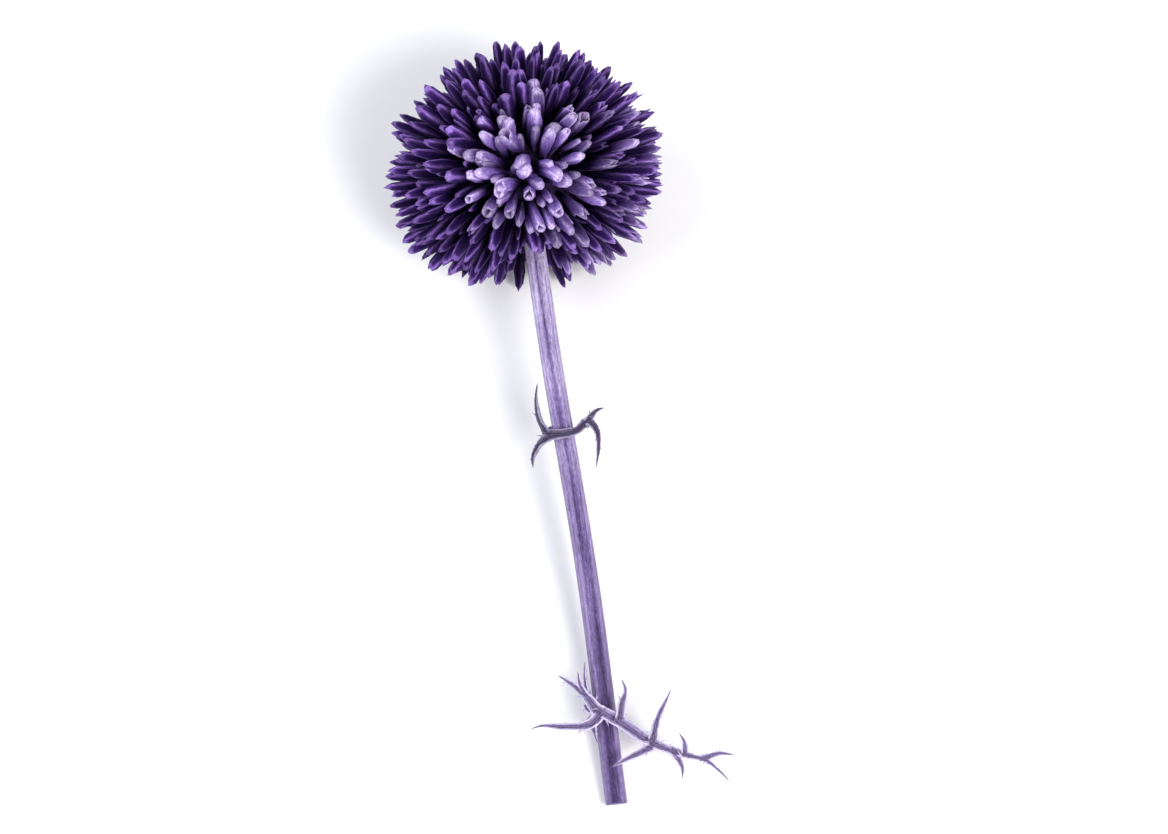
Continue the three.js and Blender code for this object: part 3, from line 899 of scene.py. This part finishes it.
# the line of each lobe and its half width, mm; the first is the rib that the others branch from
smallLeaf = {
    "name": "leaf_small",
    "tone": 0.25,
    "lobes": [
        (1.0, [(-1.3, -46.4, 0.2), (-2.2, -47.3, 1.7), (0.3, -47.9, 3), (2.6, -47.6, 3.1), (4.7, -46.5, 3.6),
               (6.1, -48.6, 4.6), (5.9, -52, 5.4), (4.8, -55.9, 5)]),
        (0.8, [(-1.6, -47.7, 2.4), (-3.6, -48.8, 1.7), (-5.2, -50.9, 2), (-5.7, -53.4, 3.1)]),
        (0.7, [(-2, -47.6, 2), (-3.1, -44.6, 1.2), (-3.4, -41.2, 1.6), (-2.7, -37.6, 2.6)]),
        (0.6, [(4.3, -46.7, 3.4), (6.4, -45, 4.4), (8.3, -44.8, 6)]),
    ],
}
largeLeaf = {
    "name": "leaf_large",
    "tone": 1.0,
    "lobes": [
        (1.25, [(-0.7, -93.9, 0.9), (-1.6, -95.2, 2.2), (-0.2, -96.2, 3.2), (2.6, -98.5, 4), (8, -103.2, 5.1),
                (13.3, -106, 5.8), (16.1, -107.2, 6.4), (18.3, -109.4, 7.2), (20.3, -112.4, 9)]),
        (0.9, [(-0.4, -96.4, 3.1), (-2.1, -93.2, 3), (-4.2, -91, 3.6), (-6.6, -89.2, 5.2)]),
        (0.6, [(-2, -93.3, 3), (-2.8, -91.2, 3.8), (-2.9, -88.9, 5)]),
        (0.85, [(0.3, -96.6, 3.4), (-2, -98.2, 2.8), (-6.2, -98, 2.6), (-10, -97.4, 3.6), (-13, -97.9, 5.4)]),
        (0.75, [(2.8, -98.5, 3.9), (3.7, -95.6, 4.7), (4.6, -93.7, 5.6), (4.2, -91.4, 7)]),
        (0.7, [(7.8, -103, 5), (9.3, -99.2, 5.7), (11, -96.7, 6.8), (12.7, -94.3, 8.6)]),
        (0.75, [(8.2, -103.4, 5), (5.4, -104.4, 4.9), (2.6, -105.3, 5), (-0.3, -106.5, 5.4)]),
        (0.6, [(13, -105.9, 5.7), (13.2, -103.9, 6.6), (12.5, -102, 7.8)]),
        (0.75, [(-0.8, -95.6, 1.7), (-1.6, -93.4, 1.5), (-1.7, -90.4, 1.2), (-1.5, -86.9, 1.4)]),
        (0.8, [(-0.6, -96, 1.8), (-1.4, -98.6, 1.6), (-1.3, -101.6, 1.8)]),
        (0.65, [(15.8, -107.1, 6.3), (18.6, -106.6, 7), (21.6, -107.4, 8.6)]),
        (0.65, [(11, -104.9, 5.5), (12.2, -107.6, 5.4), (12, -110.2, 6.4)]),
    ],
}
# the channelled section, as shares of the half width, with its rolled margins and thickness in mm
leafSection = {
    "steps": 60,
    "taper": 1.7,  # the higher, the blunter the lobes
    "fold": 0.75,  # how high the margins rise
    "roll": 0.27,
    "thick": 0.28,
    "uneven": 0.22,
    "unevenApart": 0.55,
    "web": 0.5,  # how much wider a lobe is where it leaves the rib
    "ribWeb": -0.4,  # the rib is narrower at its foot
    "webFading": 10,
    "cell": 0.1,
    "relaxing": (0.5, 4),
    "wrinkle": 0.1,
    "wrinkleScale": 2.3,
}
marginSpines = {
    "apart": 4.5,  # mm
    "seed": 5,
    "stopAlong": 0.86,
    "leastHalf": 0.3,  # none where a lobe is narrower
    "tree": {"Length": 1.15 * mm, "Girth": 0.13 * mm, "Paleness": 0.6},
}


def leafFace(place):  # which way the open side of the channel looks
    outwards = place.x / (1 + (math.hypot(place.x, place.z) / 4) ** 2)
    return Vector((outwards, 0, max(place.z, 1))).normalized()


def lobeSection(half):  # (to the side, up) all round, from the right margin over to the left and below
    fold = leafSection["fold"] * half
    roll, thick = min(leafSection["roll"], 0.45 * half), min(leafSection["thick"], 0.6 * half)
    right = [
        (half, fold - roll),
        (half, fold + 0.3 * roll),
        (half - roll, fold + 0.5 * roll),
        (0.62 * half, 0.42 * fold + 0.2 * thick),
        (0.34 * half, 0.1 * fold + 0.4 * thick),
        (0.14 * half, 0.05 * fold + 0.9 * thick),
    ]
    left = [(-side, up) for side, up in reversed(right)]
    under = [(-0.6 * half, 0.3 * fold - thick), (0, -1.2 * thick), (0.6 * half, 0.3 * fold - thick)]
    return right + [(0, 1.6 * thick)] + left + under


def lobe(halfWidth, bends, web, points, faces, spine):
    rule = leafSection
    line = curveThrough(bends, rule["steps"])
    last, before = len(line) - 1, []
    ownPlace = Vector((halfWidth * 9, 0, 0))
    for i, middle in enumerate(line[:-1]):
        share = i / last
        forward = (line[i + 1] - line[max(i - 1, 0)]).normalized()
        across = leafFace(middle).cross(forward).normalized()
        face = forward.cross(across)
        half = halfWidth * (1 - share ** rule["taper"])
        half *= 1 + rule["uneven"] * noise.noise(middle * rule["unevenApart"] + ownPlace)
        half *= 1 + web * math.exp(-rule["webFading"] * share)
        ring = []
        for side, up in lobeSection(half):
            points.append(middle + across * side + face * up)
            ring.append(len(points) - 1)
        for k, a in enumerate(before):
            j = (k + 1) % len(ring)
            faces.append((a, before[j], ring[j], ring[k]))
        if not before:
            faces.append(tuple(reversed(ring)))
        spine.append((middle, across, face, half, share, forward))
        before = ring
    points.append(line[-1])
    for k, a in enumerate(before):
        faces.append((a, before[(k + 1) % len(before)], len(points) - 1))


def dropScraps(mesh):  # keeps only the largest body of a fused mesh
    solid = bmesh.new()
    solid.from_mesh(mesh)
    waiting, bodies = set(solid.verts), []
    while waiting:
        body, front = [], [waiting.pop()]
        while front:
            point = front.pop()
            body.append(point)
            nearby = {edge.other_vert(point) for edge in point.link_edges} & waiting
            waiting -= nearby
            front += nearby
        bodies.append(body)
    for scrap in sorted(bodies, key=len)[:-1]:
        bmesh.ops.delete(solid, geom=scrap, context="VERTS")
    solid.to_mesh(mesh)
    solid.free()


def fusedLobes(leaf, spine):  # one closed mesh of all the lobes, before it goes to its place
    points, faces = [], []
    for i, (halfWidth, bends) in enumerate(leaf["lobes"]):
        lobe(halfWidth, bends, leafSection["web" if i else "ribWeb"], points, faces, spine)
    rough = meshObject("roughLeaf", [p * mm for p in points], faces)
    fuse = rough.modifiers.new("fuse", "REMESH")
    fuse.mode, fuse.voxel_size = "VOXEL", leafSection["cell"] * mm
    relax = rough.modifiers.new("relax", "SMOOTH")
    relax.factor, relax.iterations = leafSection["relaxing"]
    mesh = frozen(rough, leaf["name"])
    dropScraps(mesh)
    return mesh


def growLeaf(leaf, finish):
    spine = []
    mesh = fusedLobes(leaf, spine)
    # each point learns where it lies on the nearest lobe, wrinkles a little and goes to its place
    nearest = treeOfPoints([rib[0] for rib in spine])
    sides, ups, shares, grain = [], [], [], []
    outwards = [point.normal.copy() for point in mesh.vertices]
    for point, outward in zip(mesh.vertices, outwards):
        spot = point.co / mm
        middle, across, face, half, share = spine[nearest.find(spot)[1]][:5]
        away = spot - middle
        side, up, width = away.dot(across), away.dot(face), max(half, 0.2)
        sides.append(clamp(abs(side) / width, 0, 1.3))
        ups.append(clamp(up / width, -1, 1.3))
        shares.append(share)
        grain.append((side * 3, up * 3, share * 6 + half * 17))
        wrinkle = leafSection["wrinkle"] * noise.noise(spot * leafSection["wrinkleScale"])
        point.co = onTable(spot + outward * wrinkle * min(1, half * 2))
    addMarks(mesh, {"side": sides, "up": ups, "along": shares, "grain": grain})
    mesh.shade_smooth()
    rootSpines(mesh, spine)
    values = {**marginSpines["tree"], "Tone": leaf["tone"], "Finish": finish}
    carrier = bpy.data.objects.new(leaf["name"], mesh)
    return grown(carrier, spineTree(leaf, values), values, leaf["name"])


def rootSpines(mesh, spine):  # picks the leaf's own points that a margin spine grows from
    rule, turn = marginSpines, plantToTable.to_3x3()
    draw = numberStream(rule["seed"] + len(spine))
    ways, sizes = [(0, 0, 0)] * len(mesh.vertices), [0.0] * len(mesh.vertices)
    surface = treeOfPoints([point.co for point in mesh.vertices])
    wait = {1: draw() * rule["apart"], -1: draw() * rule["apart"]}
    for rib, following in zip(spine, spine[1:]):
        middle, across, face, half, share, forward = rib
        step = (following[0] - middle).length
        nextLobe = step > 2
        if nextLobe or share > rule["stopAlong"] or half < rule["leastHalf"]:
            continue
        for side in (1, -1):
            wait[side] -= step
            if wait[side] < 0:
                wait[side] = rule["apart"] * (0.5 + draw())
                foot = middle + across * (side * half) + face * (leafSection["fold"] * half)
                i = surface.find(onTable(foot))[1]
                way = across * side * (0.5 + 0.5 * draw())
                way += forward * (0.7 + 0.5 * draw()) + face * 0.4 * draw()
                ways[i] = tuple(turn @ way.normalized())
                sizes[i] = (0.5 + 0.8 * draw()) * min(1, half + 0.3)
    addMarks(mesh, {"way": ways, "spine": sizes})


def spineTree(leaf, values):  # short spines on the picked points, joined to the leaf
    tree, given = treeOf(leaf["name"] + "Spines", values)

    def stored(geometry, name, value):
        kept = {"Geometry": geometry, "Name": name, "Value": value}
        return outOf("GeometryNodeStoreNamedAttribute", kept, data_type="FLOAT")

    here = readMark(tree, "spine")
    grows = {"Mesh": given["Geometry"], "Selection": mathOf("GREATER_THAN", here, 0.01)}
    thorn = {"Vertices": 7, "Side Segments": 3, "Radius Top": 0.0, "Radius Bottom": given["Girth"]}
    thorn["Depth"] = given["Length"]
    way = {"Vector": readMark(tree, "way", "FLOAT_VECTOR")}
    planting = {
        "Points": outOf("GeometryNodeMeshToPoints", grows),
        "Instance": outOf("GeometryNodeMeshCone", thorn),
        "Rotation": outOf("FunctionNodeAlignRotationToVector", way, axis="Z"),
        "Scale": here,
    }
    planted = outOf("GeometryNodeInstanceOnPoints", planting)
    spines = outOf("GeometryNodeRealizeInstances", {"Geometry": planted})
    for name in ("side", "up"):
        spines = stored(spines, name, given["Paleness"])
    both = tree.nodes.new("GeometryNodeJoinGeometry")
    tree.links.new(spines, both.inputs[0])
    tree.links.new(given["Geometry"], both.inputs[0])
    return closed(stored(both.outputs[0], "tone", given["Tone"]), given["Finish"])


leafLook = {
    "pale": [  # from the midrib to the margins: painted shade in the channel beside the midrib, painted highlight on the midrib and rolled margins
        (0.0, (0.24, 0.195, 0.34)), (0.1, (0.12, 0.09, 0.2)), (0.22, (0.055, 0.04, 0.105)),
        (0.38, (0.19, 0.15, 0.29)), (0.62, (0.37, 0.315, 0.5)), (0.95, (0.6, 0.54, 0.74)),
    ],
    # the same painted shade and highlight, on a darker leaf
    "dull": [
        (0.0, (0.05, 0.038, 0.08)), (0.12, (0.018, 0.012, 0.032)), (0.45, (0.035, 0.026, 0.058)),
        (0.75, (0.09, 0.072, 0.135)), (0.97, (0.24, 0.205, 0.33)),
    ],
    # the underside darker: painted shade
    "under": (0.07, 0.05, 0.12),
    "needle": (0.07, 0.045, 0.11),
    "sheen": (0.85, 0.8, 1, 1),
    "fibres": (1.6, 6.0, 0.7),  # scale, detail and roughness
    "stains": (0.3, 3.0),
    "frayed": 0.7,
    "underFrom": 0.1,
    "underGain": 1.2,
    "fibreValues": (0.3, 0.7, 0.65, 1.35),  # from and to, and how bright there
    "stainValues": (0.55, 0.9),
    "needleAlong": (0.86, 1.0, 0.0, 0.6),
    "needleTone": 1.15,
    "relief": (0.7, 0.0002),
}


def leafFinish():
    look = leafLook
    finish, tree, shader = newFinish("dustyLeaf", roughness=0.68, sheen=0.25, sheenTint=look["sheen"])
    side, up = markOf(tree, "side"), markOf(tree, "up")
    along, tone = markOf(tree, "along"), markOf(tree, "tone")
    grain = markOf(tree, "grain", "Vector")
    fibres = noiseOf(grain, *look["fibres"])
    stains = noiseOf(grain, *look["stains"])
    across = strayed(side, fibres, look["frayed"])
    color = blended(tone, rampOf(across, look["dull"]), rampOf(across, look["pale"]))
    # the underside darker: painted shade
    under = minus(look["underFrom"], up, limit=True)
    under = times(under, look["underGain"], limit=True)
    color = blended(under, color, look["under"])
    color = lifted(color, mapped(fibres, *look["fibreValues"]))
    color = lifted(color, ranged(stains, *look["stainValues"]))
    # the needle at the end of each lobe is dry, and dark on the dull leaf
    needle = times(mapped(along, *look["needleAlong"]), minus(look["needleTone"], tone))
    color = blended(needle, color, look["needle"])
    finished(shader, color, fibres, *look["relief"])
    return finish


dusty = leafFinish()
for leaf, node in ((smallLeaf, "small_leaf"), (largeLeaf, "large_leaf")):
    dress(growLeaf(leaf, dusty), "leaf_mauve", node)

studio = {
    "table": (0.87, 0.87, 0.88),
    "tableReach": 2,
    "tableDrop": 0.0001,  # under the lowest tips
    "lamps": [  # name, place, size, watts, colour
        ("softKey", (0.33, -0.46, 0.7), 0.35, 7.8, (1, 0.98, 0.96)),
        ("softFill", (-0.5, 0.0, 0.6), 0.6, 3.7, (0.93, 0.95, 1)),
        ("softBack", (0.15, 0.7, 0.35), 0.4, 1.3, (1, 1, 1)),
    ],
    "lampsLookAt": (0, 0.02, 0.01),
    "room": (0.93, 0.94, 1),
    "roomStrength": 0.45,
}


def layTable():
    reach, drop = studio["tableReach"], studio["tableDrop"]
    corners = [(x * reach, y * reach, -drop) for x, y in ((-1, -1), (1, -1), (1, 1), (-1, 1))]
    table = meshObject("table", corners, [(0, 1, 2, 3)])
    scene.collection.objects.link(table)
    finish, _, shader = newFinish("paleTable", roughness=0.6)
    shader.inputs["Base Color"].default_value = (*studio["table"], 1)
    table.data.materials.append(finish)


def hangLamps():
    for name, place, size, power, color in studio["lamps"]:
        lamp = bpy.data.lights.new(name, "AREA")
        lamp.shape, lamp.size, lamp.energy, lamp.color = "SQUARE", size, power, color
        made = bpy.data.objects.new(name, lamp)
        made.location = place
        way = Vector(studio["lampsLookAt"]) - Vector(place)
        made.rotation_euler = way.to_track_quat("-Z", "Y").to_euler()
        scene.collection.objects.link(made)


def lightRoom():
    world = bpy.data.worlds.new("room")
    world.use_nodes = True
    background = world.node_tree.nodes["Background"]
    background.inputs["Color"].default_value = (*studio["room"], 1)
    background.inputs["Strength"].default_value = studio["roomStrength"]
    scene.world = world
    scene.view_settings.view_transform = "Standard"


layTable()
hangLamps()
lightRoom()
print("table, lamps and room set")
